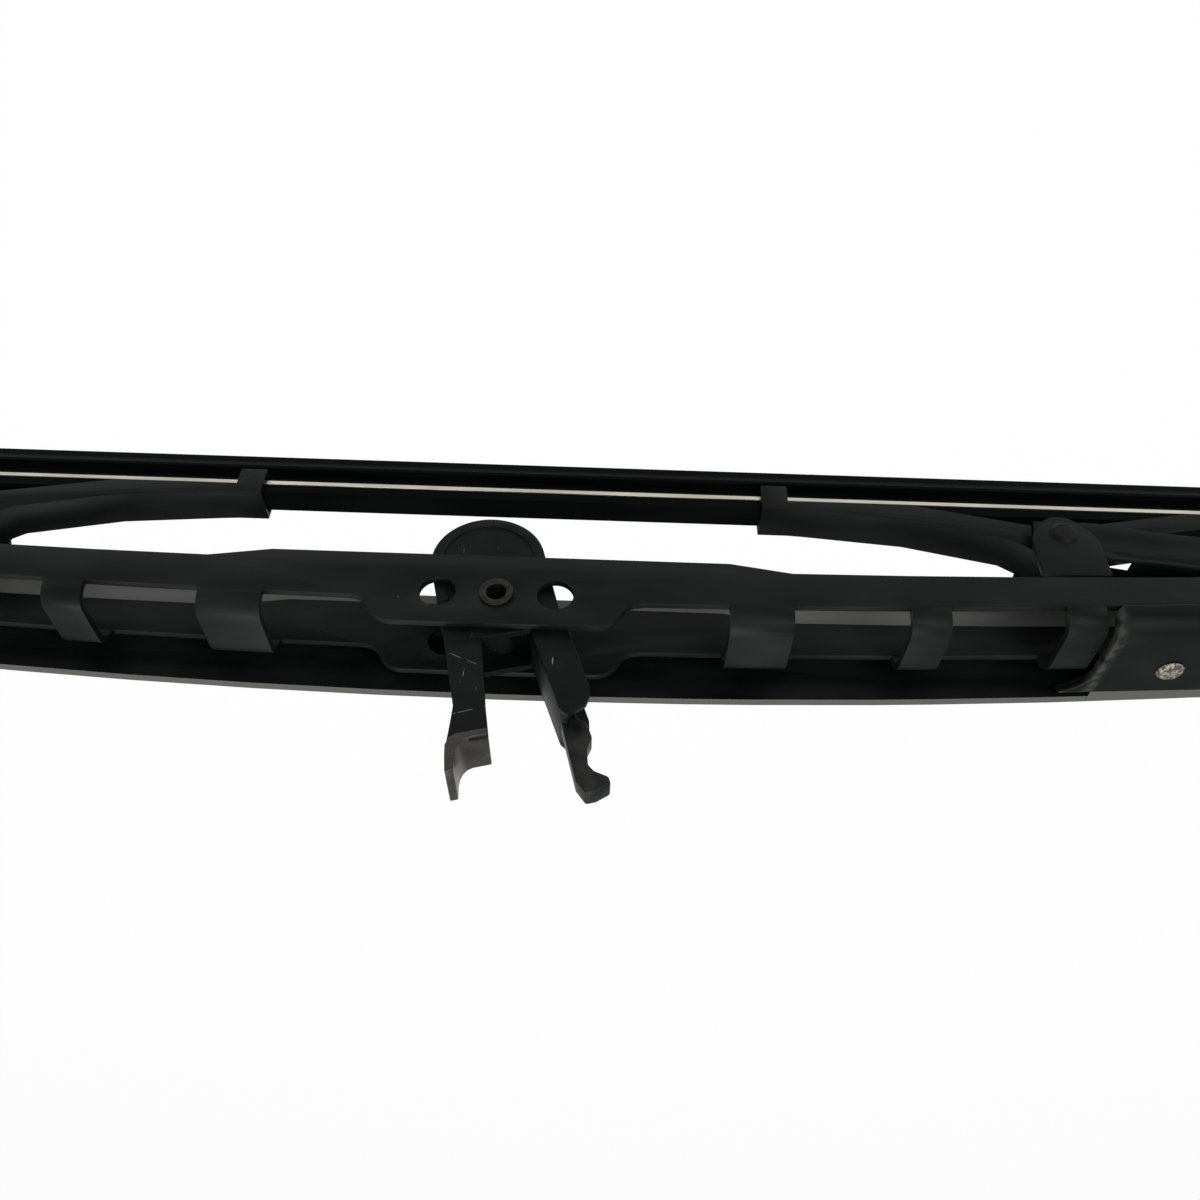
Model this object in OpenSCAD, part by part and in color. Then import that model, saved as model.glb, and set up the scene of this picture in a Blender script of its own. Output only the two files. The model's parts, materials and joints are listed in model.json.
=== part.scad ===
// Heavy duty wiper blade for a flat windscreen arm, about 900 mm long.
// X runs along the blade, the rubber points to -Z and the arm side to +Z.
// The origin is the middle of the hollow pivot tube, and Y is its axis.

/* [Main yoke] */
// Outer width of the pressed channel
yoke_w = 18; // [16:0.5:20]
// Thickness of the pressed steel sheet
sheet = 1.5; // [1.2:0.1:1.8]
// Radius of the bow along the back of the yoke
yoke_bow_r = 2200; // [2000:50:3000]
// Height of the back over the pivot tube axis
back_z = 6.5; // [5.5:0.5:8]
// Outer radius of the two long bends
bend_r = 4.6; // [3.5:0.1:5]
// Depth of the side walls under the back at the middle
wall_deep = 16.1; // [15:0.1:18]
// Depth of the side walls under the back beside the middle
wall_mid = 13.6; // [13:0.1:15]
// Depth of the side walls under the back at the ends
wall_end = 10.8; // [10.5:0.1:12.5]
// Half length of the deep middle of the walls
deep_half = 48; // [44:1:52]
// Half length of the open middle of the back
open_half = 47.6; // [45:0.1:49]
// Width of the two straps beside the middle
strap_wide = 13; // [11:0.5:14]
// Width of the narrow straps
strap_narrow = 8.1; // [7:0.1:9]
// Length of each window between two straps
window_l = 23.8; // [21:0.1:25]
// Half length of the raised middle of the walls
lobe_half = 20; // [18:0.5:22]
// Height of the raised middle over the back
lobe_rise = 1.3; // [1:0.1:3]

/* [Pivot] */
// Outer diameter of the hollow pivot tube
tube_d = 6.1; // [5.8:0.1:6.6]
// Bore of the hollow pivot tube
tube_bore = 4.1; // [3.6:0.1:4.4]
// Diameter of the two cross holes
cross_hole_d = 7.5; // [6:0.1:8]
// Spacing of the two cross holes
cross_hole_pitch = 24; // [22:0.5:26]

/* [Adapter] */
// Width of the adapter over its round cheeks
adapter_w = 24; // [22:0.5:24]
// Depth of the cheek centre under the pivot axis
cheek_drop = 11; // [9:0.5:11.5]
// Thickness of the adapter sheet
adapter_sheet = 1.6; // [1.2:0.1:2]
// Lean of the adapter about the pivot tube
adapter_lean = 15; // [0:1:15]
// Height of the closed prong over the pivot axis
block_h = 28; // [24:1:30]
// Height of the strap prong to its bend
strap_h = 33; // [30:1:35]
// Bend radius of the thumb tab
thumb_r = 7; // [5:0.5:8]
// Height of the latch bar over the pivot axis
latch_h = 45; // [40:1:47]

/* [Deflector] */
// Half length of the wind deflector
deflector_half = 214; // [190:1:220]
// Thickness of the deflector sheet
deflector_t = 2.1; // [1.5:0.1:2.3]
// Height of the deflector edge over the pivot axis
deflector_top = 9.6; // [8:0.2:11]
// Depth of the deflector edge under the pivot axis
deflector_low = 17; // [14:0.5:17.5]
// Radius of the bow of the deflector's upper edge
deflector_bow_r = 1600; // [1500:50:2200]
// Distance of a deflector foot's rivet from the middle
foot_x = 141; // [139:0.5:143]
// Width of a deflector foot
foot_w = 28; // [24:1:30]
// Diameter of the deflector rivet's head
foot_rivet_d = 5.8; // [5:0.1:6.4]

/* [Linkage] */
// Distance from the middle to the first claw
first_claw = 60; // [56:1:64]
// Spacing of the claws along the rubber
claw_pitch = 124; // [120:1:128]
// Height of the claw yoke rivets over the flexors
claw_pivot_h = 12; // [11:0.5:13]
// Depth of the flexors under the pivot tube axis
flexor_drop = 36; // [35:0.5:38]
// Outer width of the secondary yoke
second_w = 14; // [13.6:0.1:14.3]
// Thickness of the secondary yoke's sheet
second_sheet = 1.3; // [1.1:0.1:1.4]
// Outer width of a claw yoke
claw_yoke_w = 9; // [8.9:0.1:9.4]
// Thickness of a claw yoke's sheet
claw_sheet = 1; // [0.8:0.05:1]
// Width of one claw along the blade
claw_l = 6; // [5:0.5:8]
// Diameter of the rivets in the linkage
rivet_d = 4; // [3.4:0.1:4.4]

/* [Rubber] */
// Length that the rubber runs past the last claw
rubber_over = 18; // [12:1:24]
// Width of the rubber's back
rubber_back_w = 5.8; // [5.4:0.1:6]
// Width of the rubber's shoulder
shoulder_w = 6.6; // [6:0.1:7]
// Thickness of the neck under the back
neck_w = 1.8; // [1.4:0.1:2]
// Thickness of the wiping lip at its edge
lip_w = 0.8; // [0.6:0.1:1]
// Thickness of a steel flexor
flexor_t = 1.1; // [0.8:0.1:1.2]
// Width of a steel flexor
flexor_w = 2.2; // [1.8:0.1:2.3]

/* [Hidden] */

// Clearances: cut overshoot, pressed seat, running fit and gap between moving sheets
cut = 1;
seat = 0.02;
run = 0.06;
gap = 0.3;

// Places along the blade, all from the claw spacing
inner_pivot = first_claw + claw_pitch / 2;
outer_pivot = inner_pivot + 2 * claw_pitch;
second_pivot = inner_pivot + claw_pitch;
last_claw = outer_pivot + claw_pitch / 2;
rubber_half = last_claw + rubber_over;

// Heights of the linkage
flexor_z = -flexor_drop;
claw_pivot_z = flexor_z + claw_pivot_h;
function bow(r, x) = r - sqrt(r * r - x * x);
function back_at(x) = back_z - bow(yoke_bow_r, x);
// The windows are cut down to a little below the start of the bends
window_drop = bend_r + 0.3;
second_pivot_drop = 7.4;
second_pivot_z = back_at(second_pivot) - second_pivot_drop;
yoke_half = second_pivot + 9;
deep_run = 13;

// The points of an outline's right half, then their mirror image, as one closed outline
function both_halves(side) = concat(side, [for (i = [len(side) - 1:-1:0]) [-side[i][0], side[i][1]]]);

// A section in the YZ plane swept along a bow in the XZ plane, with its top at the given height
module along_bow(r, top, from, to) {
    translate([0, 0, top - r])
        rotate([90, 0, 0])
            rotate([0, 0, 90 - asin(to / r)])
                rotate_extrude(angle = asin(to / r) - asin(from / r), $fn = 720)
                    translate([r, 0])
                        rotate([0, 0, -90])
                            children();
}

// A section with round shoulders: width w, depth d, shoulder radius r, its top at 0
module shoulders(w, d, r) {
    translate([-w / 2, -d])
        square([w, d - r]);
    translate([-w / 2 + r, -d])
        square([w - 2 * r, d]);
    for (s = [-1, 1])
        translate([s * (w / 2 - r), -r])
            intersection() {
                circle(r = r, $fn = 48);
                translate([-r, 0])
                    square([2 * r, r]);
            }
}

// An outline drawn in the XZ plane, given a thickness in Y about the middle plane
module side_plate(t) {
    rotate([90, 0, 0])
        linear_extrude(height = t, center = true)
            children();
}

// A round bar along Y
module cross_bar(d, l) {
    rotate([90, 0, 0])
        cylinder(d = d, h = l, center = true, $fn = 48);
}

// Starts of the windows on one side, out from the middle
window_1 = open_half + strap_wide;
window_2 = window_1 + window_l + strap_narrow;
foot_slit = window_2 + window_l + strap_narrow;
slit_l = foot_x - foot_w / 2 + 2.5 - foot_slit;
window_3 = foot_x + foot_w / 2 + strap_narrow;
window_4 = window_3 + window_l + strap_narrow;

// The straps that are left of the back on one side: where each starts and ends
straps = [[open_half, window_1], [window_1 + window_l, window_2], [window_2 + window_l, foot_slit],
    [foot_slit + slit_l, window_3], [window_3 + window_l, window_4], [window_4 + window_l, yoke_half]];

// Outline of one side wall seen from the front, from its lip up to the start of the bend
module wall_outline() {
    lip_from = deep_half + deep_run;
    steps = [for (i = [0:8]) lip_from + i * (yoke_half - lip_from) / 8];
    lip = [for (x = steps)
        [x, back_at(x) - wall_mid + (wall_mid - wall_end) * (x - lip_from) / (yoke_half - lip_from)]];
    rim = [for (i = [10:-1:0]) let (x = i * yoke_half / 10) [x, back_at(x) - window_drop]];
    polygon(both_halves(concat([[deep_half, back_at(deep_half) - wall_deep]], lip, rim)));
}

// Raised middle of one wall, with a round shoulder at each end
module lobe_outline() {
    r = lobe_rise + window_drop;
    base = back_z - window_drop;
    fillet = 0.6 * r;
    translate([-lobe_half, base - cut])
        square([2 * lobe_half, r + cut]);
    for (s = [-1, 1]) {
        translate([s * lobe_half, base])
            circle(r = r, $fn = 64);
        difference() {
            translate([s > 0 ? lobe_half : -lobe_half - r - fillet, base - cut])
                square([r + fillet, cut + fillet]);
            translate([s * (lobe_half + r + fillet), base + fillet])
                circle(r = fillet, $fn = 64);
        }
    }
}

// One piece of the back with its two long bends, set along the bow and a hair inside the walls' faces
module strap(from, to) {
    mid = (from + to) / 2;
    translate([mid, 0, back_at(mid)])
        rotate([0, asin(mid / yoke_bow_r), 0])
            rotate([90, 0, 90])
                linear_extrude(height = to - from, center = true)
                    difference() {
                        shoulders(yoke_w - 2 * seat, window_drop + gap, bend_r);
                        translate([0, -sheet])
                            shoulders(yoke_w - 2 * sheet + 2 * seat, bend_r + 2 * cut, bend_r - sheet);
                    }
}

module main_yoke() {
    color("#24282a")
        difference() {
            union() {
                for (s = [-1, 1])
                    translate([0, s * (yoke_w - sheet) / 2, 0])
                        side_plate(sheet)
                            difference() {
                                union() {
                                    wall_outline();
                                    lobe_outline();
                                }
                                circle(d = tube_d + 2 * seat, $fn = 48);
                                for (x = [-1, 1]) {
                                    translate([x * cross_hole_pitch / 2, 0])
                                        circle(d = cross_hole_d, $fn = 48);
                                    translate([x * second_pivot, second_pivot_z])
                                        circle(d = rivet_d + 2 * seat, $fn = 48);
                                }
                            }
                for (place = straps) {
                    strap(place[0], place[1]);
                    strap(-place[1], -place[0]);
                }
            }
            for (s = [-1, 1])
                translate([s * foot_x, foot_rivet_y, back_at(foot_x) - 4 * sheet])
                    cylinder(d = foot_pin_d + 2 * seat, h = 6 * sheet, $fn = 48);
        }
}

// Hollow rivet that carries the adapter, flared over both walls
tube_flare_t = 0.6;
tube_flare_d = tube_d + 0.9;

module pivot_tube() {
    color("#5a5c5c")
        difference() {
            union() {
                cross_bar(tube_d, yoke_w + 2 * tube_flare_t);
                for (s = [-1, 1])
                    translate([0, s * (yoke_w / 2 + tube_flare_t / 2 + seat / 2), 0])
                        cross_bar(tube_flare_d, tube_flare_t - seat);
            }
            cross_bar(tube_bore, yoke_w + 4 * cut);
        }
}

// Wind deflector: a bowed plate beside the far wall, with two feet on the yoke's back
deflector_y = yoke_w / 2 + 3.2;
deflector_curve_r = 130;
foot_rivet_y = 4.2;
foot_pin_d = 3.2;
// A foot is hammered a little thinner than the plate and lies a hair over the yoke's back
foot_t = deflector_t - 0.4;
foot_lift = 0.05;

// Place of the plate's inner face at a height, and of its middle line
function plate_y(z) = deflector_y + 1.6 - (z + 3) * (z + 3) / (2 * deflector_curve_r);

module deflector_section() {
    rows = [for (i = [0:12]) -deflector_low + i * (deflector_top + deflector_low) / 12];
    polygon(concat([for (z = rows) [plate_y(z), z]],
        [for (i = [12:-1:0]) [plate_y(rows[i]) + deflector_t, rows[i]]]));
}

module deflector_outline() {
    n = 16;
    top = [for (i = [-n:n]) let (x = i * deflector_half / n) [x, deflector_top - bow(deflector_bow_r, x)]];
    end_drop = 9;
    low = [for (i = [n:-1:-n]) let (x = i * deflector_half / n, u = abs(i) / n)
        [x, -deflector_low - end_drop * u * u]];
    polygon(concat(top, low));
}

module deflector() {
    foot_z = back_at(foot_x) + foot_lift;
    color("#101414") {
        difference() {
            union() {
                intersection() {
                    translate([-deflector_half, 0, 0])
                        rotate([90, 0, 90])
                            linear_extrude(height = 2 * deflector_half)
                                deflector_blank();
                    side_plate(4 * yoke_w)
                        deflector_outline();
                }
                for (s = [-1, 1])
                    translate([s * foot_x, 0, foot_z])
                        rotate([0, s * asin(foot_x / yoke_bow_r), 0])
                            foot_tongue();
            }
            for (s = [-1, 1])
                translate([s * foot_x, foot_rivet_y, foot_z - 2])
                    cylinder(d = foot_pin_d + 2 * seat, h = 8, $fn = 48);
        }
    }
}

// The plate's section carried on below, so that the tapered ends stay whole
module deflector_blank() {
    deflector_section();
    low = -deflector_low;
    slope = (low + 3) / deflector_curve_r;
    polygon([[plate_y(low), low], [plate_y(low) + deflector_t, low],
        [plate_y(low) + deflector_t + 12 * slope, low - 12], [plate_y(low) + 12 * slope, low - 12]]);
}

// A foot: a flat tongue over the far bend, round at its free end
module foot_tongue() {
    reach = plate_y(0) + deflector_t / 2;
    corner = 5;
    linear_extrude(height = foot_t) {
        translate([-foot_w / 2, -2 + corner])
            square([foot_w, reach + 2 - corner]);
        translate([-foot_w / 2 + corner, -2])
            square([foot_w - 2 * corner, corner]);
        for (s = [-1, 1])
            translate([s * (foot_w / 2 - corner), -2 + corner])
                circle(r = corner, $fn = 48);
    }
}

// The set end stays clear of the round inner corner of the bend
set_end_drop = 1.85;
set_end_d = foot_pin_d + 1;

module deflector_rivet(side) {
    under_z = back_at(foot_x) - sheet;
    tongue_z = back_at(foot_x) + foot_lift + foot_t;
    color("#a89a80")
        translate([side * foot_x, foot_rivet_y, 0]) {
            translate([0, 0, under_z - set_end_drop])
                cylinder(d = foot_pin_d, h = tongue_z + gap - under_z + set_end_drop, $fn = 48);
            translate([0, 0, tongue_z + gap - 0.05])
                cylinder(d1 = foot_rivet_d, d2 = foot_rivet_d - 1.4, h = 0.8, $fn = 48);
            translate([0, 0, under_z - set_end_drop])
                cylinder(d = set_end_d, h = 1, $fn = 48);
        }
}

// Adapter: two round cheeks, a closed prong, a strap prong with a thumb tab
cheek_y = yoke_w / 2 - sheet - gap;
rim_t = 0.4;
rim_w = 2.4;
prong_left = [-adapter_w / 2, -3];
prong_right = [5.4, adapter_w / 2];
cheek_top = 9;

module lean() {
    rotate([0, -adapter_lean, 0])
        mirror([1, 0, 0])
            children();
}

module cheek_outline(r) {
    translate([0, -cheek_drop])
        circle(r = r, $fn = 96);
    translate([-r, -cheek_drop])
        square([2 * r, cheek_drop + cheek_top]);
}

module adapter_body() {
    inner_y = cheek_y - rim_t - adapter_sheet;
    color("#1c1f20")
        lean()
            difference() {
                union() {
                    for (s = [-1, 1]) {
                        translate([0, s * (cheek_y - rim_t - adapter_sheet / 2), 0])
                            side_plate(adapter_sheet)
                                cheek_outline(adapter_w / 2);
                        translate([0, s * (cheek_y - rim_t), 0])
                            side_plate(2 * rim_t)
                                difference() {
                                    cheek_outline(adapter_w / 2);
                                    cheek_outline(adapter_w / 2 - rim_w);
                                    translate([-adapter_w, -2])
                                        square([2 * adapter_w, adapter_w]);
                                }
                    }
                    closed_prong(inner_y);
                    strap_prong(inner_y);
                    hinge_sleeve(inner_y);
                }
                cross_bar(tube_d + 2 * run, yoke_w + 2 * cut);
            }
}

// Sleeve round the pivot tube, between the cheeks
module hinge_sleeve(inner_y) {
    cross_bar(tube_d + 3, 2 * inner_y + 0.2);
}

// Closed prong: a box section with a pocket for the latch bar
module closed_prong(inner_y) {
    w = prong_right[1] - prong_right[0];
    depth = 2 * (inner_y + adapter_sheet);
    difference() {
        translate([prong_right[0], -depth / 2, 3.5])
            cube([w, depth, block_h - 3.5]);
        translate([prong_right[0] + adapter_sheet, -depth / 2 + adapter_sheet, 0])
            cube([w + cut, depth - 2 * adapter_sheet, block_h + cut]);
    }
}

// Strap prong: front strap with a side flange, curled out at its end into a thumb tab
module strap_prong(inner_y) {
    w = prong_left[1] - prong_left[0];
    depth = 2 * (inner_y + adapter_sheet);
    front = -inner_y - adapter_sheet;
    translate([prong_left[0], front, 3.5])
        cube([w, adapter_sheet, strap_h - 3.5]);
    translate([prong_left[0], front, 3.5])
        cube([adapter_sheet, depth, block_h - 9]);
    translate([prong_left[0], -front - adapter_sheet, 3.5])
        cube([w, adapter_sheet, block_h - 9]);
    translate([prong_left[0] + w, front - thumb_r, strap_h])
        rotate([0, -90, 0])
            linear_extrude(height = w)
                thumb_arc();
}

// Quarter turn of the thumb tab, drawn with the blade's height along the first axis
module thumb_arc() {
    difference() {
        intersection() {
            circle(r = thumb_r + adapter_sheet, $fn = 96);
            square(thumb_r + adapter_sheet + cut);
        }
        circle(r = thumb_r, $fn = 96);
        polygon([[0, 0], [40, 0], [40, -1], [0, -1]]);
        polygon([[0, 0], [40, 9], [40, -9], [0, -2]]);
    }
}

// Latch bar with an ear and a hooked toe, sliding in the closed prong
latch_t = 4.4;
latch_x = prong_right[0] + adapter_sheet + gap;

module latch_outline() {
    bar = 3.2;
    polygon([[0, 6], [bar, 6], [bar, block_h + 0.5], [bar + 1.6, block_h + 2], [bar + 1.9, block_h + 5.5],
        [bar + 0.4, block_h + 7.5], [bar - 0.2, block_h + 11], [bar + 0.6, latch_h - 4.4],
        [bar + 3, latch_h - 2.6], [bar + 3, latch_h - 1], [bar, latch_h], [1.2, latch_h], [0, latch_h - 3]]);
}

module adapter_latch() {
    color("#2c2f30")
        lean()
            translate([latch_x, 0, 0])
                side_plate(latch_t)
                    latch_outline();
}

// Secondary yoke: a bowed channel that carries two claw yokes
second_depth = 9.3;
second_hub_r = 5.2;
second_bow_r = 900;
second_top = second_pivot_z + 4.6;
claw_hub_d = 9.6;

module second_lip() {
    half = claw_pitch + 8;
    ramp = claw_pitch - 20;
    top = second_top + 2 * cut;
    mid = second_top - second_depth;
    side = [for (i = [0:8]) let (x = ramp * i / 8) [x, mid - bow(second_bow_r, x)]];
    end_z = claw_pivot_z - 3.6;
    polygon(both_halves(concat(side, [[ramp + 12, end_z], [half, end_z], [half, top]])));
}

module secondary_yoke(side) {
    color("#202426")
        translate([side * second_pivot, 0, 0])
            difference() {
                intersection() {
                    along_bow(second_bow_r, second_top, -claw_pitch - 7, claw_pitch + 7)
                        shoulders(second_w, 40, 2);
                    union() {
                        side_plate(second_w + 2 * cut)
                            second_lip();
                        for (s = [-1, 1])
                            translate([s * claw_pitch, 0, claw_pivot_z])
                                cross_bar(2 * second_hub_r, second_w + cut);
                    }
                }
                along_bow(second_bow_r, second_top - second_sheet, -claw_pitch - 12, claw_pitch + 12)
                    shoulders(second_w - 2 * second_sheet, 50, 1);
                translate([0, 0, second_pivot_z])
                    cross_bar(rivet_d + 2 * run, second_w + cut);
                for (s = [-1, 1]) {
                    translate([s * claw_pitch, 0, claw_pivot_z])
                        cross_bar(rivet_d + 2 * seat, second_w + cut);
                    second_slot(s);
                }
            }
}

// The open end of the channel, where the claw yoke's hub swings
module second_slot(s) {
    from = claw_pitch - 14;
    translate([s > 0 ? from : -from - 30, -(second_w - 2 * second_sheet) / 2, claw_pivot_z - 20])
        cube([30, second_w - 2 * second_sheet, 50]);
}

// Rivet across two cheeks with low domed heads, the pivot's middle at the origin
module rivet(width) {
    head_h = 1;
    head_d = rivet_d + 2.6;
    rotate([90, 0, 0]) {
        cylinder(d = rivet_d, h = width + 0.4, center = true, $fn = 48);
        for (s = [0, 1])
            mirror([0, 0, s])
                translate([0, 0, width / 2 + 0.05])
                    cylinder(d1 = head_d, d2 = head_d - 2, h = head_h, $fn = 48);
    }
}

module secondary_rivet(side) {
    color("#3a3d3e")
        translate([side * second_pivot, 0, second_pivot_z])
            rivet(yoke_w);
}

module claw_rivet(side, x) {
    color("#3a3d3e")
        translate([side * x, 0, claw_pivot_z])
            rivet(second_w);
}

// Plastic bush on a rivet, filling the width inside its yoke
module secondary_bush(side) {
    translate([side * second_pivot, 0, second_pivot_z])
        color("#17191a")
            difference() {
                cross_bar(rivet_d + 0.9, second_w - 2 * second_sheet - 2 * run);
                cross_bar(rivet_d + 2 * run, second_w + cut);
            }
}

module claw_bush(side, x) {
    translate([side * x, 0, claw_pivot_z])
        color("#17191a")
            difference() {
                cross_bar(rivet_d + 2.2, claw_yoke_w - 2 * claw_sheet - 2 * run);
                cross_bar(rivet_d + 2 * run, claw_yoke_w + cut);
            }
}

// Claw yoke: a narrow bent channel with a hub and a claw at each end
claw_top_z = flexor_z + 4.4;
claw_low_z = flexor_z - 2.9;
claw_hook_t = 0.9;
claw_arm_depth = 5;

module claw_arm_outline() {
    half = claw_pitch / 2;
    tip = half + claw_l / 2;
    hub_top = claw_pivot_z + claw_hub_d / 2 - 0.6;
    top = [[0, hub_top], [5, hub_top - 0.5], [11, claw_pivot_z - 0.4], [32, claw_top_z + 2.4],
        [half - 8, claw_top_z + 0.3], [half - 4, claw_top_z], [tip, claw_top_z]];
    low = [[tip, claw_low_z], [half - claw_l / 2, claw_low_z], [half - claw_l / 2, claw_top_z - 2.4],
        [32, claw_top_z + 2.4 - claw_arm_depth], [11, claw_pivot_z - claw_arm_depth - 1],
        [5, claw_pivot_z - claw_hub_d / 2], [0, claw_pivot_z - claw_hub_d / 2]];
    polygon(both_halves(concat([for (i = [len(low) - 1:-1:0]) low[i]], [for (i = [len(top) - 1:-1:0]) top[i]])));
}

module claw_yoke(side, x) {
    inside = claw_yoke_w - 2 * claw_sheet;
    color("#1b1e1f")
        translate([side * x, 0, 0])
            difference() {
                side_plate(claw_yoke_w)
                    claw_arm_outline();
                difference() {
                    translate([0, 0, -claw_sheet])
                        side_plate(inside)
                            claw_inside();
                    for (s = [-1, 1], f = [-1, 1])
                        translate([s * claw_pitch / 2 - claw_l, f * claw_yoke_w / 2 - claw_reach,
                            claw_low_z - cut])
                            cube([2 * claw_l, 2 * claw_reach, claw_hook_t + cut]);
                }
                translate([0, 0, claw_pivot_z])
                    cross_bar(rivet_d + 2 * run, claw_yoke_w + cut);
            }
}

// How far a claw's toe reaches in from its outer face
claw_reach = (claw_yoke_w - neck_w) / 2 - 0.5;

// The space inside the claw yoke, open below
module claw_inside() {
    half = claw_pitch / 2;
    tip = half + claw_l + cut;
    hub_top = claw_pivot_z + claw_hub_d / 2 - 0.6;
    outline = [[0, hub_top], [5, hub_top - 0.5], [11, claw_pivot_z - 0.4], [32, claw_top_z + 2.4],
        [half - 8, claw_top_z + 0.3], [half - 4, claw_top_z], [tip, claw_top_z],
        [tip, claw_low_z - 4]];
    polygon(both_halves(outline));
}

// Rubber section: back with two flexor slots, neck, shoulder and tapered lip
back_h = 3;
back_low = 1.5;
shoulder_z = 4.7;
shoulder_h = 0.9;
tip_z = 11.6;
flexor_out = 0.3;
flexor_in = rubber_back_w / 2 + flexor_out - flexor_w;

module rubber_section() {
    side = [[rubber_back_w / 2, back_h], [rubber_back_w / 2, flexor_t / 2 + run],
        [flexor_in - run, flexor_t / 2 + run], [flexor_in - run, -flexor_t / 2 - run],
        [rubber_back_w / 2, -flexor_t / 2 - run], [rubber_back_w / 2, -back_low], [neck_w / 2, -back_low - 0.2],
        [neck_w / 2, -shoulder_z + 0.4], [shoulder_w / 2, -shoulder_z], [shoulder_w / 2, -shoulder_z - shoulder_h],
        [shoulder_w / 2 - 0.9, -shoulder_z - shoulder_h - 0.6], [lip_w / 2 + 0.25, -tip_z + 2.2],
        [lip_w / 2, -tip_z]];
    polygon(both_halves(side));
}

module along_blade(half) {
    translate([-half, 0, flexor_z])
        rotate([90, 0, 90])
            linear_extrude(height = 2 * half)
                children();
}

module rubber_blade() {
    color("#23282a")
        along_blade(rubber_half)
            rubber_section();
}

module flexor(side) {
    color("#b8b3a2")
        along_blade(rubber_half - 2)
            translate([side > 0 ? flexor_in : -flexor_in - flexor_w, -flexor_t / 2])
                square([flexor_w, flexor_t]);
}

main_yoke();
pivot_tube();
deflector();
deflector_rivet(-1);  // deflector_rivet_left
deflector_rivet(1);  // deflector_rivet_right
adapter_body();
adapter_latch();
secondary_yoke(-1);  // secondary_yoke_left
secondary_yoke(1);  // secondary_yoke_right
secondary_rivet(-1);  // secondary_rivet_left
secondary_rivet(1);  // secondary_rivet_right
secondary_bush(-1);  // secondary_bush_left
secondary_bush(1);  // secondary_bush_right
claw_yoke(-1, inner_pivot);  // claw_yoke_left_inner
claw_yoke(-1, outer_pivot);  // claw_yoke_left_outer
claw_yoke(1, inner_pivot);  // claw_yoke_right_inner
claw_yoke(1, outer_pivot);  // claw_yoke_right_outer
claw_rivet(-1, inner_pivot);  // claw_rivet_left_inner
claw_rivet(-1, outer_pivot);  // claw_rivet_left_outer
claw_rivet(1, inner_pivot);  // claw_rivet_right_inner
claw_rivet(1, outer_pivot);  // claw_rivet_right_outer
claw_bush(-1, inner_pivot);  // claw_bush_left_inner
claw_bush(-1, outer_pivot);  // claw_bush_left_outer
claw_bush(1, inner_pivot);  // claw_bush_right_inner
claw_bush(1, outer_pivot);  // claw_bush_right_outer
rubber_blade();
flexor(-1);  // flexor_front
flexor(1);  // flexor_rear
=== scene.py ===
import json
import math

import bmesh
import bpy
from mathutils import Matrix, Vector

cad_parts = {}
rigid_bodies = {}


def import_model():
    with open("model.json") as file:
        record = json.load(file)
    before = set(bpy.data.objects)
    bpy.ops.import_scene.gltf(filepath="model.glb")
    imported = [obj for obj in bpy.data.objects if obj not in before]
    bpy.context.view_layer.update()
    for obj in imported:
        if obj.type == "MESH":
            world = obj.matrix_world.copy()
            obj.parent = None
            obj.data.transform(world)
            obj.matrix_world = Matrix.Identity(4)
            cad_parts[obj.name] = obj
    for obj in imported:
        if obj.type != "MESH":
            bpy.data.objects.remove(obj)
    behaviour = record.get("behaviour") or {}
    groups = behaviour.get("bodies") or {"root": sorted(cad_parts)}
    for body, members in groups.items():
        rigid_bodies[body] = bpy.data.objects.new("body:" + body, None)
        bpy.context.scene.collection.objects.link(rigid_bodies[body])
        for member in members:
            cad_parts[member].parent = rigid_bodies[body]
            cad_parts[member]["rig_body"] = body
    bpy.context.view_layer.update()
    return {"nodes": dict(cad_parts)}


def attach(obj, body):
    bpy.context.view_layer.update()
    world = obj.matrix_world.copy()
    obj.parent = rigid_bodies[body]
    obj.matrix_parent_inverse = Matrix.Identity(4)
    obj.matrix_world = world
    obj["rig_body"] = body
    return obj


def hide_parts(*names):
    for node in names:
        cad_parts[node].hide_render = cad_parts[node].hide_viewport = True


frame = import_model()


# Main yoke
# The backbone of the blade: a channel pressed from one strip of steel sheet, its windows punched out
# before the two long bends were made, then coated black in a satin powder paint.

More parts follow.
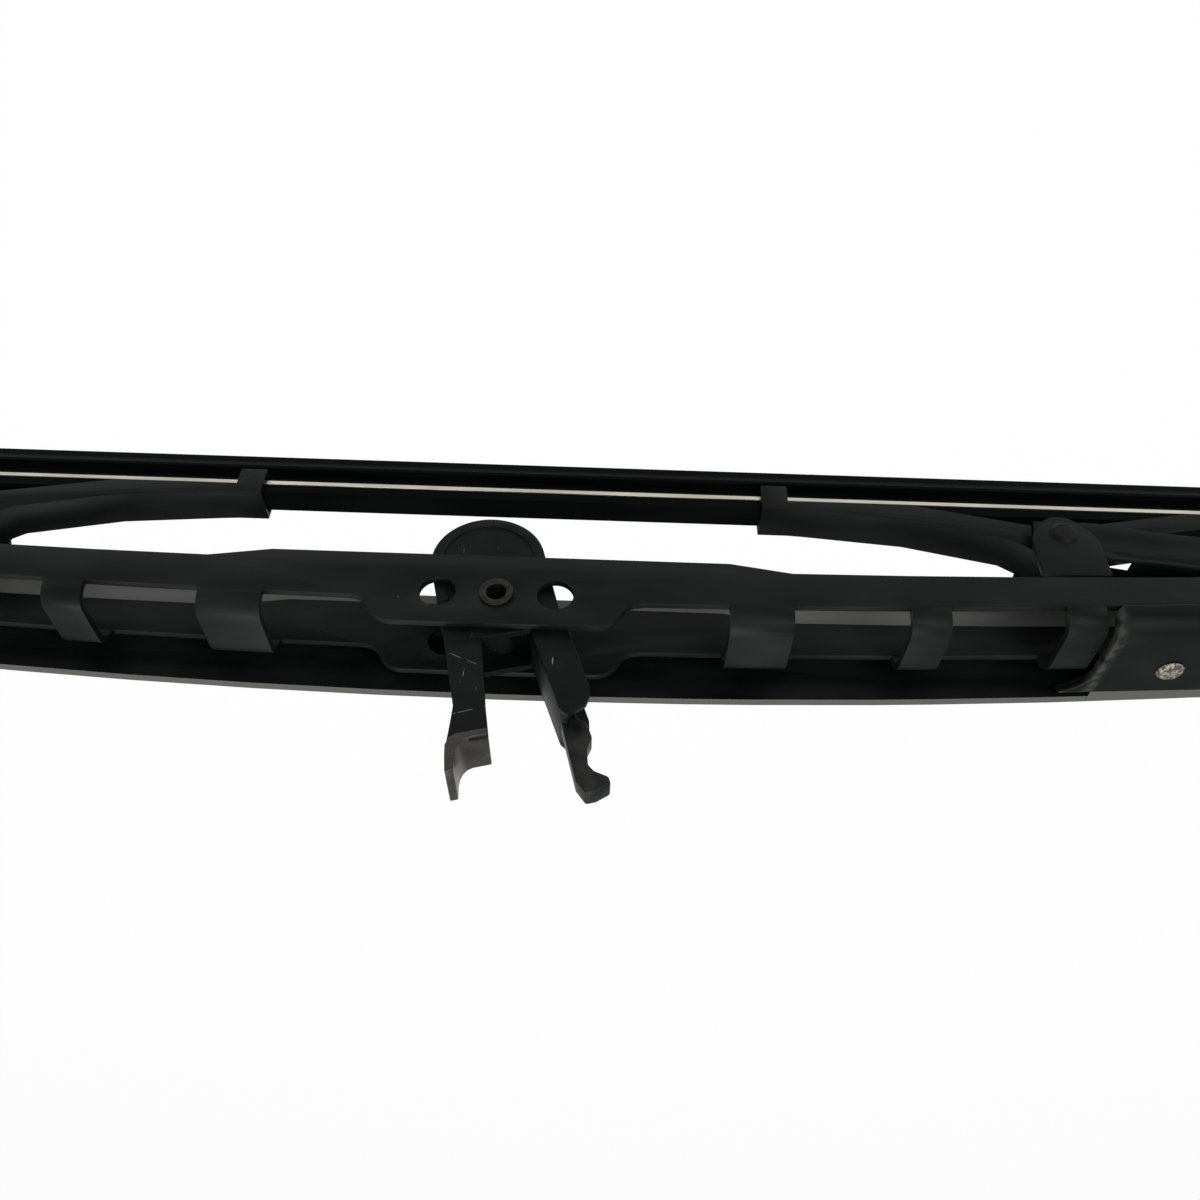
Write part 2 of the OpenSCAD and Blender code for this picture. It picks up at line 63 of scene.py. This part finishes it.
class Shade:
    """A value in a material, so that shader maths reads as plain sums."""

    def __init__(self, tree, socket=None):
        self.tree = tree
        self.socket = socket

    def node(self, kind, settings=None, inputs=None, output=0):
        """A new node with its settings and inputs, as the Shade of one of its outputs."""
        made = self.tree.nodes.new("ShaderNode" + kind)
        for name, value in (settings or {}).items():
            setattr(made, name, value)
        for name, value in (inputs or {}).items():
            if isinstance(value, Shade):
                self.tree.links.new(value.socket, made.inputs[name])
            else:
                made.inputs[name].default_value = value
        return Shade(self.tree, made.outputs[output])

    def maths(self, operation, first, second=0.0):
        return self.node("Math", {"operation": operation}, {0: first, 1: second})

    def __add__(self, other):
        return self.maths("ADD", self, other)

    __radd__ = __add__

    def __sub__(self, other):
        return self.maths("SUBTRACT", self, other)

    def __rsub__(self, other):
        return self.maths("SUBTRACT", other, self)

    def __mul__(self, other):
        return self.maths("MULTIPLY", self, other)

    __rmul__ = __mul__

    def __abs__(self):
        return self.maths("ABSOLUTE", self)

    def above(self, edge, soft):
        """0 below the edge and 1 over it, with a soft step between."""
        return self.node("MapRange", {"interpolation_type": "SMOOTHSTEP"},
                         {"Value": self, "From Min": edge - soft, "From Max": edge + soft})

    def noise(self, scale, detail=2.0, stretch=(1, 1, 1)):
        """Noise on the piece's own coordinates, in patches about 1/scale metres wide."""
        place = self.node("TexCoord", output="Object")
        place = self.node("Mapping", inputs={"Vector": place, "Scale": stretch})
        return self.node("TexNoise", inputs={"Vector": place, "Scale": scale, "Detail": detail})

    def axis(self, name):
        """The piece's own coordinate along one axis, in metres."""
        place = self.node("TexCoord", output="Object")
        return self.node("SeparateXYZ", inputs={"Vector": place}, output=name)

    def facing(self, name):
        """How far the surface faces along one of the piece's own axes, from -1 to 1."""
        normal = self.node("TexCoord", output="Normal")
        return self.node("SeparateXYZ", inputs={"Vector": normal}, output=name)

    def tint(self, mask, low, high):
        """Colour low where the mask is 0 and colour high where it is 1."""
        colour_a, colour_b, colour_out = 6, 7, 2
        ends = {colour_a: low, colour_b: high}
        ends = {socket: tone if isinstance(tone, Shade) else (*tone, 1) for socket, tone in ends.items()}
        return self.node("Mix", {"data_type": "RGBA"}, {0: mask, **ends}, output=colour_out)


def new_finish(name, metallic=0.0, specular=0.5):
    """A material with one Principled shader, and the Shade that its nodes are made from."""
    material = bpy.data.materials.new(name)
    material.use_nodes = True
    shader = material.node_tree.nodes["Principled BSDF"]
    shader.inputs["Metallic"].default_value = metallic
    shader.inputs["Specular IOR Level"].default_value = specular
    return material, shader, Shade(material.node_tree)


def feed(shader, start, colour=None, rough=None, relief=None, depth=0.00002, strength=0.5):
    """Links a colour, a roughness and a relief to a shader."""
    links = start.tree.links
    if colour is not None:
        links.new(colour.socket, shader.inputs["Base Color"])
    if rough is not None:
        links.new(rough.socket, shader.inputs["Roughness"])
    if relief is not None:
        bump = start.node("Bump", inputs={"Strength": strength, "Distance": depth, "Height": relief})
        links.new(bump.socket, shader.inputs["Normal"])


def satin_paint(name, black, bare, grain=1.0, wear=0.78):
    """Black powder paint: fine orange peel, dull dust patches and a few specks worn to metal."""
    material, shader, start = new_finish(name, specular=0.09)
    peel = start.noise(2600, 2) * grain
    patches = start.noise(90, 4, (0.5, 1, 1))
    specks = start.noise(900, 3).above(wear, 0.015) * start.noise(60, 2).above(0.55, 0.08)
    dusty = tuple(c * 1.7 + 0.003 for c in black)
    colour = start.tint(patches.above(0.55, 0.2), black, dusty)
    colour = start.tint(specks, colour, bare)
    rough = 0.36 + patches * 0.2 + specks * 0.1
    feed(shader, start, colour, rough, peel, 0.00003, 0.4)
    return material


def add_piece(name, shape, finish, body, smooth=True, crease=0):
    """Puts a finished bmesh in the scene as a piece that moves with a body.

    A smooth piece keeps the edges sharp that turn by more degrees than its crease, where it has one.
    """
    mesh = bpy.data.meshes.new(name)
    shape.to_mesh(mesh)
    shape.free()
    mesh.materials.append(finish)
    piece = bpy.data.objects.new(name, mesh)
    bpy.context.scene.collection.objects.link(piece)
    if smooth:
        mesh.shade_smooth()
    if crease:
        mesh.set_sharp_from_angle(angle=math.radians(crease))
    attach(piece, body)
    return piece


same_place = 0.000002
flat_enough = math.radians(0.6)
sheet_edge = math.radians(32)


def softened(node, finish, edge=0.0002, steps=2, cut_at=None, reshape=None):
    """The CAD node's own shape with its cut edges rounded as pressing and painting leave them.

    A reshape changes the mesh first. A cut, given by a place and a direction, takes away what lies beyond.
    """
    source = frame["nodes"][node]
    shape = bmesh.new()
    shape.from_mesh(source.data)
    bmesh.ops.remove_doubles(shape, verts=shape.verts, dist=same_place)
    if reshape:
        reshape(shape)
    bmesh.ops.dissolve_limit(shape, angle_limit=flat_enough, verts=shape.verts, edges=shape.edges)
    if cut_at:
        place, direction = cut_at
        whole = shape.verts[:] + shape.edges[:] + shape.faces[:]
        bmesh.ops.bisect_plane(shape, geom=whole, plane_co=place, plane_no=direction, clear_outer=True)
        bmesh.ops.triangle_fill(shape, use_beauty=True, edges=[e for e in shape.edges if e.is_boundary],
                                normal=direction)
    piece = add_piece(node + "_finished", shape, finish, source["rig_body"])
    rounding = piece.modifiers.new("rounded edges", "BEVEL")
    rounding.width = edge
    rounding.segments = steps
    rounding.limit_method = "ANGLE"
    rounding.angle_limit = sheet_edge
    rounding.harden_normals = True
    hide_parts(node)


yoke_black = (0.0042, 0.0054, 0.0047)
worn_steel = (0.16, 0.14, 0.11)
yoke_paint = satin_paint("yoke paint", yoke_black, worn_steel)
# The raised middle of each wall ends in a circle, whose sweep into the rim is moved up to touch it
lobe_x, lobe_z, lobe_r, sweep_r = 0.020, 0.0016, 0.0062, 0.00372
on_sweep, past_sweep, nib_merge = 0.00004, 0.0002, 0.00001
sweep_z = lobe_z + sweep_r
old_sweep_x = lobe_x + lobe_r + sweep_r
new_sweep_x = lobe_x + math.sqrt((lobe_r + sweep_r) ** 2 - sweep_r ** 2)
meet_z = lobe_z + sweep_r * lobe_r / (lobe_r + sweep_r)


def blend_lobes(shape):
    """Smooths the nib where each sweep meets its circle."""
    for corner in shape.verts:
        x, z = abs(corner.co.x), corner.co.z
        off_sweep = abs(math.hypot(x - old_sweep_x, z - sweep_z) - sweep_r)
        if x > old_sweep_x + past_sweep or off_sweep > on_sweep:
            continue
        if z > meet_z:
            x = lobe_x + math.sqrt(max(lobe_r ** 2 - (z - lobe_z) ** 2, 0.0))
        else:
            x -= old_sweep_x - new_sweep_x
        corner.co.x = math.copysign(x, corner.co.x)
    bmesh.ops.remove_doubles(shape, verts=shape.verts, dist=nib_merge)


softened("main_yoke", yoke_paint, edge=0.00028, reshape=blend_lobes)


# Pivot tube
# A hollow steel rivet through both walls, its ends flared over, carrying the adapter. It was painted with
# the yoke, and the flare is polished by the arm's cross pin.

tube_finish, tube_shader, tube_start = new_finish("pivot tube", metallic=0.7)
ring = tube_start.noise(500, 3)
tube_tone = tube_start.tint(ring.above(0.5, 0.2), (0.008, 0.008, 0.0076), (0.024, 0.023, 0.020))
feed(tube_shader, tube_start, tube_tone, 0.34 + ring * 0.2, ring, 0.00002, 0.3)
softened("pivot_tube", tube_finish, edge=0.0002, steps=3)


# Wind deflector
# A long plate of thicker sheet, bowed and hollowed to press the blade down in wind. Two tongues are bent
# over the yoke's far edge and riveted to its back.

deflector_black = (0.0022, 0.0032, 0.0031)
deflector_paint = satin_paint("deflector paint", deflector_black, worn_steel, grain=0.8, wear=0.8)
# Painted light: the hollow below the yoke's far wall is painted pale grey, and the upward-facing sheared edge
# lighter grey as a painted highlight; the side edges of the feet that face the middle are scuffed
hollow_depth, plate_y, sheared_y = 0.0092, 0.0145, 0.0118
foot_edge_x, foot_scuff, foot_rear_y = 0.1262, 0.0011, 0.0115
# The pale grey of the painted light in the plate's hollow
pale_painted_light = (0.17, 0.17, 0.16)
# The grey of the painted highlight on the sheared edge and of the real scuffs on the feet
highlight_and_scuff_grey = (0.085, 0.086, 0.076)
light_and_wear_start = Shade(deflector_paint.node_tree)
across, height = light_and_wear_start.axis("Y"), light_and_wear_start.axis("Z")
# Mask of the painted light: below the hollow's depth and in front of the plate's rear face
painted_light_mask = (0.0 - height).above(hollow_depth, 0.0006) * (plate_y - across).above(0.0, 0.0004)
# Mask of the painted highlight: the upward-facing faces along the plate's sheared edge
painted_edge_highlight = light_and_wear_start.facing("Z").above(0.8, 0.08) * across.above(sheared_y, 0.0002)
off_edge = abs(abs(light_and_wear_start.axis("X")) - foot_edge_x)
scuff = (1.0 - off_edge.above(foot_scuff, foot_scuff)) * (foot_rear_y - across).above(0.0, 0.0005)
scuff = scuff * light_and_wear_start.noise(420, 4).above(0.46, 0.16)
deflector_shader = deflector_paint.node_tree.nodes["Principled BSDF"]
painted = Shade(deflector_paint.node_tree, deflector_shader.inputs["Base Color"].links[0].from_socket)
# Painted light: pale grey laid over the lower hollow of the plate
painted = light_and_wear_start.tint(painted_light_mask * 0.9, painted, pale_painted_light)
# Painted highlight on the sheared edge and real scuffs on the feet's edges, in one grey
feed(deflector_shader, light_and_wear_start, light_and_wear_start.tint(painted_edge_highlight * 0.9 + scuff * 0.38, painted, highlight_and_scuff_grey))
softened("deflector", deflector_paint, edge=0.0003)


# Deflector feet
# The tongues of the deflector as pressed: each is drawn right across the yoke's back and down over its front
# bend, with rounded corners, and flares out at the rear, where it turns into the plate.

yoke_back_z = 0.0065
yoke_bow_r = 2.2
bend_y, bend_r = -0.0044, 0.0046
foot_x = 0.141
foot_half = 0.0155
foot_top, foot_wrap = 0.0018, 0.0011
foot_corner_r = 0.0022
foot_rim = 0.0006
sunk = 0.0003
foot_z = yoke_back_z - foot_x ** 2 / (2 * yoke_bow_r)
foot_tilt = foot_x / yoke_bow_r


def sharp_edges(shape, degrees):
    """The edges whose two faces turn by more than an angle."""
    return [edge for edge in shape.edges if edge.calc_face_angle(0) > math.radians(degrees)]


def round_edges(shape, edges, width, steps=3, clamped=False):
    """Rounds some of a shape's edges."""
    bmesh.ops.bevel(shape, geom=edges, offset=width, affect="EDGES", segments=steps, profile=0.5, material=-1,
                    clamp_overlap=clamped)


# How much the foot widens at each place across the blade, from the plate to the front bend
flare = ((0.0122, 0.0060), (0.0108, 0.0036), (0.0092, 0.0016), (0.0076, 0.0005), (0.0060, 0.0), (bend_y, 0.0))
# Half width, then y and z of the outer and of the sunk face
stations = [(foot_half + wider, (y, foot_top), (y, -sunk)) for y, wider in flare]
bend_steps = 8
for step in range(1, bend_steps + 1):
    share = step / bend_steps
    turned = share * math.pi / 2
    outer_r = bend_r + foot_top + (foot_wrap - foot_top) * share
    cut_corner = foot_corner_r * max(step - bend_steps + 2, 0) ** 2 / 4
    outer, inner = [(bend_y - r * math.sin(turned), r * math.cos(turned) - bend_r)
                    for r in (outer_r, bend_r - sunk)]
    stations.append((foot_half - cut_corner, outer, inner))
for name, side in (("left", -1), ("right", 1)):
    shape = bmesh.new()
    rings = []
    for half, outer, inner in stations:
        corners = ((-half, outer), (half, outer), (half, inner), (-half, inner))
        rings.append([shape.verts.new((x, *place)) for x, place in corners])
    for ring_a, ring_b in zip(rings, rings[1:]):
        for k in range(4):
            shape.faces.new((ring_a[k], ring_a[k - 1], ring_b[k - 1], ring_b[k]))
    shape.faces.new(rings[0])
    shape.faces.new(rings[-1])
    bmesh.ops.recalc_face_normals(shape, faces=shape.faces)
    round_edges(shape, sharp_edges(shape, 50), foot_rim, steps=4, clamped=True)
    tilt = Matrix.Rotation(side * foot_tilt, 3, "Y")
    bmesh.ops.rotate(shape, cent=(0, 0, 0), matrix=tilt, verts=shape.verts)
    bmesh.ops.translate(shape, verts=shape.verts, vec=(side * foot_x, 0, foot_z))
    add_piece("deflector_foot_" + name, shape, deflector_paint, "yoke_frame", crease=35)


# Deflector rivets
# Soft steel rivets set after painting, so their heads are bare, dull brassy grey and pitted by the tool.

rivet_bare, rivet_shader, rivet_start = new_finish("bare rivet", metallic=0.55)
pits = rivet_start.noise(1500, 4)
stain = rivet_start.noise(450, 3)
rivet_tone = rivet_start.tint(pits.above(0.5, 0.12), (0.045, 0.042, 0.036), (0.34, 0.30, 0.23))
rivet_tone = rivet_start.tint(stain.above(0.58, 0.08), rivet_tone, (0.05, 0.05, 0.047))
feed(rivet_shader, rivet_start, rivet_tone, 0.42 + stain * 0.25, pits, 0.00012, 0.8)
for side in ("left", "right"):
    softened("deflector_rivet_" + side, rivet_bare, edge=0.00045, steps=3)


# Adapter
# A folded steel clip that turns on the pivot tube: two round cheeks between the walls, a closed prong, and
# a strap prong whose top curls up into a thumb tab. Its paint is scratched by the arm.

adapter_finish, adapter_shader, adapter_start = new_finish("adapter paint", specular=0.09)
cloud = adapter_start.noise(160, 4)
scratch = adapter_start.noise(1, 3, (2400, 2400, 260)).above(0.72, 0.012)
scratch = scratch * adapter_start.noise(140, 2).above(0.55, 0.05)
# Two long scratches across the strap prong: a point on each, and its slope
long_scratches = ((0.0016, 0.0167, -0.43), (-0.0005, 0.026, 0.33))
scratch_half_w, scratch_half_l, scratch_middle = 0.00009, 0.0032, 0.003
for low_x, low_z, slope in long_scratches:
    along = adapter_start.axis("X") - low_x
    off_line = abs(adapter_start.axis("Z") - along * slope - low_z)
    line = 1.0 - off_line.above(scratch_half_w, 0.00004)
    reach = 1.0 - abs(along - scratch_middle).above(scratch_half_l, 0.0005)
    scratch = scratch + line * reach * adapter_start.noise(700, 2).above(0.46, 0.06) * 0.5
adapter_tone = adapter_start.tint(cloud.above(0.52, 0.2), (0.0028, 0.0036, 0.0036), (0.0065, 0.0072, 0.0068))
# Old grease keeps the sheet's upper edges between the prongs dull
prong_root_z = 0.0125
greased = adapter_start.facing("Z").above(0.85, 0.05)
greased = greased * (prong_root_z - adapter_start.axis("Z")).above(0.0, 0.0006)
feed(adapter_shader, adapter_start, adapter_start.tint(scratch, adapter_tone, (0.25, 0.24, 0.21)),
     0.36 + cloud * 0.2 + greased * 0.5, cloud + scratch * 0.2, 0.00008, 0.4)

tab_finish, tab_shader, tab_start = new_finish("thumb tab", metallic=0.2, specular=0.4)
grease = tab_start.noise(220, 4)
tab_tone = tab_start.tint(grease.above(0.5, 0.18), (0.012, 0.0102, 0.0086), (0.034, 0.029, 0.025))
feed(tab_shader, tab_start, tab_tone, 0.26 + grease * 0.2, grease, 0.0001, 0.5)

adapter_lean = Matrix.Rotation(math.radians(-15), 3, "Y")
cheek_top = 0.00895
prong_y = 0.00683
prong_sheet, sheet_rim = 0.0016, 0.0003
softened("adapter_body", adapter_finish, edge=0.0003, steps=3,
         cut_at=(adapter_lean @ Vector((0, 0, cheek_top)), adapter_lean @ Vector((0, 0, 1))))


def drawn_out(outline, along):
    """A closed solid: an outline, corner by corner, drawn out along a vector."""
    shape = bmesh.new()
    face = shape.faces.new([shape.verts.new(corner) for corner in outline])
    made = bmesh.ops.extrude_face_region(shape, geom=[face])
    moved = [part for part in made["geom"] if isinstance(part, bmesh.types.BMVert)]
    bmesh.ops.translate(shape, verts=moved, vec=along)
    bmesh.ops.recalc_face_normals(shape, faces=shape.faces)
    return shape


def folded_sheet(name, outline, y_low, y_high, finish):
    """An outline in the adapter's own upright frame, in millimetres, drawn out across the blade."""
    shape = drawn_out([(-x / 1000, y_low, z / 1000) for x, z in outline], (0, y_high - y_low, 0))
    round_edges(shape, sharp_edges(shape, 40), sheet_rim)
    bmesh.ops.rotate(shape, cent=(0, 0, 0), matrix=adapter_lean, verts=shape.verts)
    add_piece(name, shape, finish, "adapter", crease=35)


# The strap prong lies to -x in these outlines. After each, how far the sheet reaches from front to rear
folded_sheet("strap_prong_front", (
    (-12.0, 8.5), (-4.5, 8.5), (-6.4, 25.0), (-6.9, 31.5), (-14.7, 31.5), (-13.3, 27.0), (-12.4, 23.6)),
    -prong_y, -prong_y + prong_sheet, adapter_finish)
folded_sheet("strap_prong_web", (
    (-12.0, 8.5), (-12.4, 23.6), (-13.4, 27.0), (-14.8, 31.5), (-13.3, 31.5), (-11.9, 27.3), (-10.9, 23.8),
    (-10.5, 8.5)), -prong_y + 0.0001, 0.004, adapter_finish)
folded_sheet("thumb_tab", (
    (-6.9, 31.5), (-10.6, 31.5), (-11.7, 31.8), (-12.6, 32.5), (-13.3, 33.5), (-13.8, 34.9), (-14.3, 37.6),
    (-15.9, 37.6), (-15.5, 34.4), (-15.1, 32.0), (-14.2, 30.5), (-12.8, 30.0), (-6.9, 30.0)),
    -prong_y - 0.0002, 0.0042, tab_finish)
closed_outline = ((5.1, 8.5), (12.6, 8.5), (13.0, 14.0), (13.8, 25.0), (13.4, 27.0), (12.2, 28.8),
                  (8.3, 30.4), (7.1, 28.6), (5.7, 14.0))
folded_sheet("closed_prong_front", closed_outline, -prong_y, -prong_y + prong_sheet, adapter_finish)
folded_sheet("closed_prong_rear", closed_outline, prong_y - prong_sheet, prong_y, adapter_finish)
folded_sheet("closed_prong_web", (
    (5.1, 8.5), (5.7, 14.0), (7.1, 28.6), (8.3, 30.2), (8.9, 29.2), (8.5, 28.2), (7.2, 14.0), (6.7, 8.5)),
    -prong_y + 0.0001, prong_y - 0.0001, adapter_finish)


# Adapter latch
# A thin pressed bar that springs inside the closed prong. Its ear stops it and its hooked toe snaps over
# the wiper arm.

latch_finish, latch_shader, latch_start = new_finish("latch paint", specular=0.2)
rub = latch_start.noise(300, 4)
latch_tone = latch_start.tint(rub.above(0.55, 0.12), (0.0034, 0.004, 0.004), (0.014, 0.014, 0.013))
feed(latch_shader, latch_start, latch_tone, 0.34 + rub * 0.2, rub, 0.00006, 0.4)
softened("adapter_latch", latch_finish, edge=0.0004, steps=3)


# Secondary yokes
# Two smaller bowed channels, hinged in the ends of the main yoke on steel rivets with plastic bushes.

linkage_black = (0.0026, 0.0034, 0.0033)
linkage_paint = satin_paint("linkage paint", linkage_black, worn_steel, wear=0.79)
rivet_finish, pin_shader, pin_start = new_finish("linkage rivet", specular=0.1)
dull = pin_start.noise(700, 3)
pin_tone = pin_start.tint(dull.above(0.5, 0.2), (0.0024, 0.0028, 0.0026), (0.008, 0.0078, 0.0074))
feed(pin_shader, pin_start, pin_tone, 0.35 + dull * 0.25, dull, 0.00004, 0.4)
bush_finish, bush_shader, bush_start = new_finish("bush plastic")
matt = bush_start.noise(1200, 2)
bush_tone = bush_start.tint(matt, (0.008, 0.008, 0.008), (0.016, 0.016, 0.016))
feed(bush_shader, bush_start, bush_tone, 0.5 + matt * 0.15, matt, 0.00002, 0.3)
for side in ("left", "right"):
    softened("secondary_yoke_" + side, linkage_paint, edge=0.00022)
    softened("secondary_rivet_" + side, rivet_finish, edge=0.0003, steps=3)
    softened("secondary_bush_" + side, bush_finish, edge=0.0001)


# Hub ears
# The cheeks of each secondary yoke are pressed out round the inner claw rivet: a round-topped ear that
# stiffens the hinge and runs down between the main yoke's walls, deeper on the front than on the rear.

ear_r, ear_rim = 0.0074, 0.0004
ear_low, ear_high = 0.0058, 0.0072
ear_x, ear_z = 0.122, -0.0205
ear_steps = 32
ear_arc = [step / ear_steps * math.pi for step in range(ear_steps + 1)]
ear_top = [(ear_r * math.cos(turned), -ear_r * math.sin(turned)) for turned in ear_arc]
for side, sign in (("left", -1), ("right", 1)):
    for face, way, ear_foot in (("front", -1, 0.0085), ("rear", 1, 0.0050)):
        ear_outline = [(x, way * ear_low, z) for x, z in [*ear_top, (-ear_r, ear_foot), (ear_r, ear_foot)]]
        shape = drawn_out(ear_outline, (0, way * (ear_high - ear_low), 0))
        round_edges(shape, sharp_edges(shape, 60), ear_rim)
        bmesh.ops.translate(shape, verts=shape.verts, vec=(sign * ear_x, 0, ear_z))
        add_piece(f"hub_ear_{side}_{face}", shape, linkage_paint, "secondary_" + side,
                  crease=50)


# Claw yokes
# Four short channels that hold the rubber: each turns on a rivet in a secondary yoke, and its two ends are
# folded into claws under the flexors.

for side in ("left", "right"):
    for place in ("inner", "outer"):
        end = side + "_" + place
        softened("claw_yoke_" + end, linkage_paint, edge=0.0002)
        softened("claw_rivet_" + end, rivet_finish, edge=0.0003, steps=3)
        softened("claw_bush_" + end, bush_finish, edge=0.0001)


# Rubber
# One strip of extruded black rubber: a back with a slot for a flexor on each side, a thin neck that lets
# the lip tilt, a shoulder, and the tapered wiping lip.

flexor_z = -0.036
rubber_half = 0.450
hinge_x = 0.246
rubber_edge = 0.00014
# Each claw yoke carries the length of rubber that its claws hold
rubber_runs = {
    "claws_left_outer": (-rubber_half, -hinge_x),
    "claws_left_inner": (-hinge_x, 0.0),
    "claws_right_inner": (0.0, hinge_x),
    "claws_right_outer": (hinge_x, rubber_half),
}
# Right half of the section in millimetres from the flexor's middle, top of the back first
rubber_profile = (
    (2.9, 3.0), (2.9, 0.61), (0.94, 0.61), (0.94, -0.61), (2.9, -0.61), (2.9, -1.5), (0.9, -1.7), (0.9, -4.3),
    (3.3, -4.7), (3.3, -5.6), (2.4, -6.2), (0.65, -9.4), (0.4, -11.6),
)

rubber_finish, rubber_shader, rubber_start = new_finish("rubber", specular=0.02)
bloom = rubber_start.noise(120, 4, (0.25, 1, 1))
die_lines = rubber_start.noise(1, 2, (60, 2600, 2600))
rubber_tone = rubber_start.tint(bloom.above(0.5, 0.2), (0.0014, 0.0018, 0.0017), (0.0032, 0.0038, 0.0036))
feed(rubber_shader, rubber_start, rubber_tone, 0.46 + bloom * 0.25, die_lines, 0.00003, 0.35)


def lengthwise(shape, length):
    """The edges that run along the blade for more than half of a length."""
    return [edge for edge in shape.edges if abs(edge.verts[0].co.x - edge.verts[1].co.x) > length / 2]


def rubber_run(start, end):
    """The rubber's section drawn out from one place along the blade to another."""
    half = [(y / 1000, z / 1000) for y, z in rubber_profile]
    outline = half + [(-y, z) for y, z in reversed(half)]
    shape = drawn_out([(start, y, flexor_z + z) for y, z in outline], (end - start, 0, 0))
    round_edges(shape, lengthwise(shape, end - start), rubber_edge, steps=2)
    return shape


for body, (start, end) in rubber_runs.items():
    strip = add_piece("rubber_" + body, rubber_run(start, end), rubber_finish, body, smooth=False)
    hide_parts("rubber_blade")


# Flexors
# Two long strips of stainless spring steel pushed into the rubber's slots. They spread the arm's load
# and stand out a little on each side, where the claws hold them.

flexor_finish, flexor_shader, flexor_start = new_finish("flexor steel", metallic=1.0)
brushed = flexor_start.noise(1, 3, (40, 3000, 3000))
tarnish = flexor_start.noise(200, 3, (0.3, 1, 1))
flexor_tone = flexor_start.tint(tarnish.above(0.5, 0.25), (0.66, 0.63, 0.54), (0.48, 0.45, 0.38))
feed(flexor_shader, flexor_start, flexor_tone, 0.3 + brushed * 0.2, brushed, 0.00002, 0.3)

flexor_w, flexor_t, flexor_edge = 0.0022, 0.0011, 0.0001
flexor_y = 0.0021
flexor_half = 0.448
for body, (start, end) in rubber_runs.items():
    start, end = max(start, -flexor_half), min(end, flexor_half)
    for node, y in (("flexor_front", -flexor_y), ("flexor_rear", flexor_y)):
        bar = bmesh.new()
        bmesh.ops.create_cube(bar, size=1)
        bmesh.ops.scale(bar, vec=(end - start, flexor_w, flexor_t), verts=bar.verts)
        bmesh.ops.translate(bar, vec=((start + end) / 2, y, flexor_z), verts=bar.verts)
        round_edges(bar, lengthwise(bar, end - start), flexor_edge, steps=2)
        strip = add_piece(node + "_" + body, bar, flexor_finish, body, smooth=False)
        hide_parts(node)


# Floor, light and camera
# A pale floor well below the blade, which its pivot tube holds up, soft lamps over the arm side, and a
# camera close to the middle of the front wall, with the rubber uppermost in the picture.

def white_to_eye(name, tone):
    """A pale surface that camera, glossy and transmission rays see as white."""
    material = bpy.data.materials.new(name)
    material.use_nodes = True
    nodes = material.node_tree.nodes
    start = Shade(material.node_tree)
    nodes["Principled BSDF"].inputs["Base Color"].default_value = (tone, tone, tone, 1)
    nodes["Principled BSDF"].inputs["Roughness"].default_value = 0.9
    glow = start.node("Emission", inputs={"Color": (1, 1, 1, 1), "Strength": 1.0})
    seen = (start.node("LightPath", output="Is Camera Ray") + start.node("LightPath", output="Is Glossy Ray")
            + start.node("LightPath", output="Is Transmission Ray"))
    capped = start.maths("MINIMUM", seen, 0.96)
    mixed = start.node("MixShader", inputs={0: capped})
    links = material.node_tree.links
    links.new(nodes["Principled BSDF"].outputs[0], mixed.socket.node.inputs[1])
    links.new(glow.socket, mixed.socket.node.inputs[2])
    links.new(mixed.socket, nodes["Material Output"].inputs["Surface"])
    return material


floor_half, floor_z = 6, -0.32
floor_mesh = bpy.data.meshes.new("floor")
floor_shape = bmesh.new()
bmesh.ops.create_grid(floor_shape, x_segments=1, y_segments=1, size=floor_half)
bmesh.ops.translate(floor_shape, vec=(0, 0, floor_z), verts=floor_shape.verts)
floor_shape.to_mesh(floor_mesh)
floor_shape.free()
floor_mesh.materials.append(white_to_eye("floor", 0.8))
floor = bpy.data.objects.new("floor", floor_mesh)
bpy.context.scene.collection.objects.link(floor)

world = bpy.data.worlds.new("studio")
world.use_nodes = True
sky = Shade(world.node_tree)
ambient = 0.45
seen_through = sky.node("LightPath", output="Is Transmission Ray")
eye = sky.maths("MINIMUM", sky.node("LightPath", output="Is Camera Ray") + seen_through, 1.0)
strength = ambient + eye * (1.0 - ambient)
background = world.node_tree.nodes["Background"]
background.inputs["Color"].default_value = (1, 1, 1, 1)
world.node_tree.links.new(strength.socket, background.inputs["Strength"])
bpy.context.scene.world = world


def lamp(name, place, aim, power, width):
    """A soft square lamp at a place, turned to face a point."""
    data = bpy.data.lights.new(name, "AREA")
    data.energy = power
    data.size = width
    holder = bpy.data.objects.new(name, data)
    holder.location = place
    holder.rotation_euler = (Vector(aim) - Vector(place)).to_track_quat("-Z", "Y").to_euler()
    bpy.context.scene.collection.objects.link(holder)


lamp("overhead softbox", (0.15, 0.25, 1.1), (0, 0, 0), 14, 0.9)
lamp("front softbox", (-0.5, -0.9, 0.75), (0, 0, 0), 7, 0.6)

# The camera was fitted to the photograph: its place in millimetres, and its own three axes
camera_place = Vector((-22.685, -167.356, 133.076)) / 1000
camera_right = Vector((-0.99941, -0.01572, -0.03050))
camera_up = Vector((0.03349, -0.64060, -0.76714))
camera_back = Vector((-0.00748, -0.76771, 0.64075))
focal_px = 1018.5
photo_px = 1200
eye_data = bpy.data.cameras.new("camera")
eye_data.sensor_width = 36
eye_data.lens = focal_px * eye_data.sensor_width / photo_px
eye_data.clip_start = 0.005
camera = bpy.data.objects.new("camera", eye_data)
turn = Matrix((camera_right, camera_up, camera_back)).transposed().to_4x4()
camera.matrix_world = Matrix.Translation(camera_place) @ turn
bpy.context.scene.collection.objects.link(camera)
bpy.context.scene.camera = camera
bpy.context.scene.view_settings.view_transform = "Standard"
